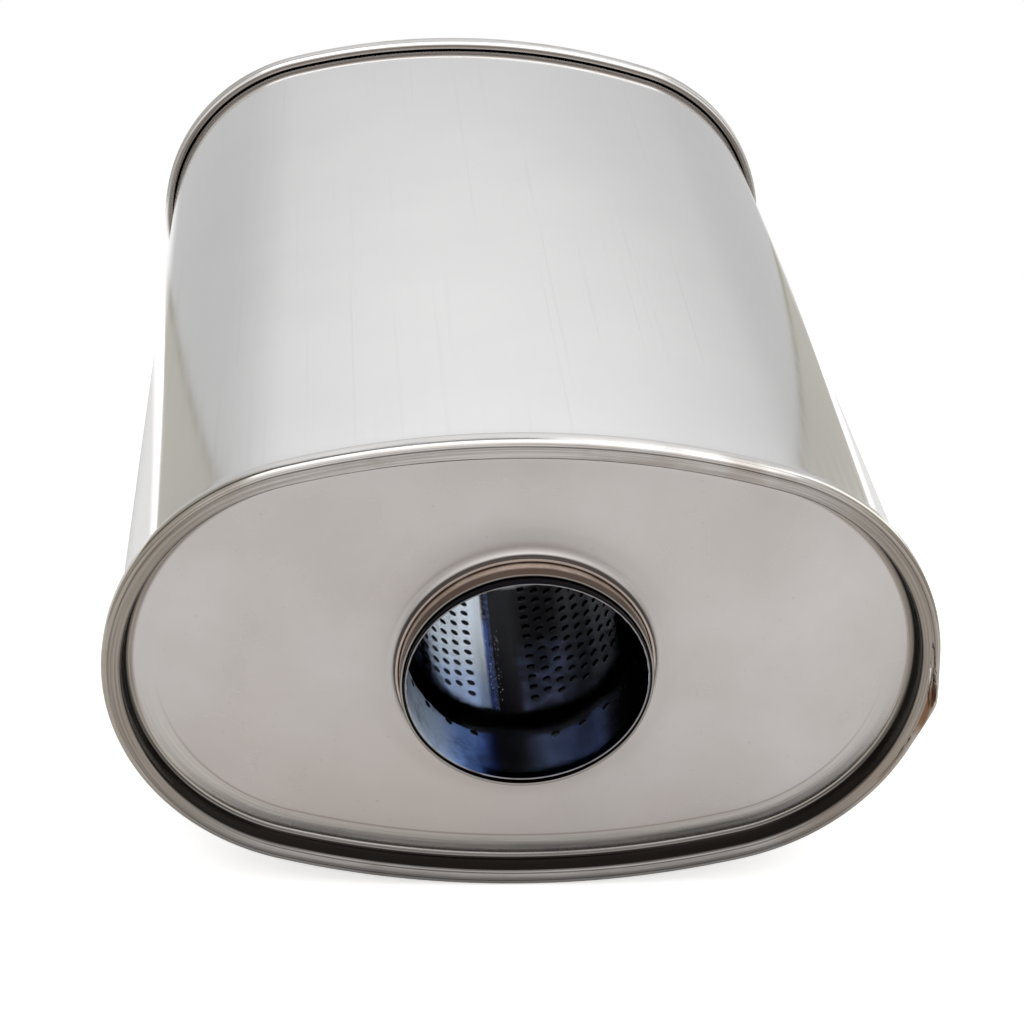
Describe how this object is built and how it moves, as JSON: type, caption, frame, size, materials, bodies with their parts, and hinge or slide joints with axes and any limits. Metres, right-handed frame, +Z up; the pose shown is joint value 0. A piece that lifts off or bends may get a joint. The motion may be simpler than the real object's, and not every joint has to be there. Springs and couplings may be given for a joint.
{
  "type": "straight-through muffler",
  "caption": "Oval straight-through exhaust muffler with rolled rims, pressed end caps, drawn necks and a perforated core in fibre packing.",
  "frame": {"origin": "on the gas tube's axis, in the plane of the inlet rim's front face", "axes": "+Y along the gas flow from inlet to outlet, +Z up through the broad side, X across the oval body"},
  "size_m": [0.2234, 0.3162, 0.1408],
  "materials": {
    "polished_shell": "polished stainless sheet",
    "plain_wrap": "mill finish",
    "satin_cap": "satin stainless pressing",
    "tinted_neck": "brown heat tint",
    "perforated_core": "bright rolled tube with a blue tint",
    "weld_bead": "as welded",
    "steel_wool": "stainless wool",
    "fibre_mat": "needled glass fibre"
  },
  "bodies": {
    "root": {"outer_shell": "polished_shell", "inner_wrap": "plain_wrap", "inlet_end_cap": "satin_cap", "outlet_end_cap": "satin_cap", "inlet_neck_tube": "tinted_neck", "outlet_neck_tube": "tinted_neck", "core_tube": "perforated_core", "core_seam_weld": "weld_bead", "steel_wool_sleeve": "steel_wool", "round_packing_mat": "fibre_mat", "oval_packing_mat": "fibre_mat"}
  },
  "joints": []
}
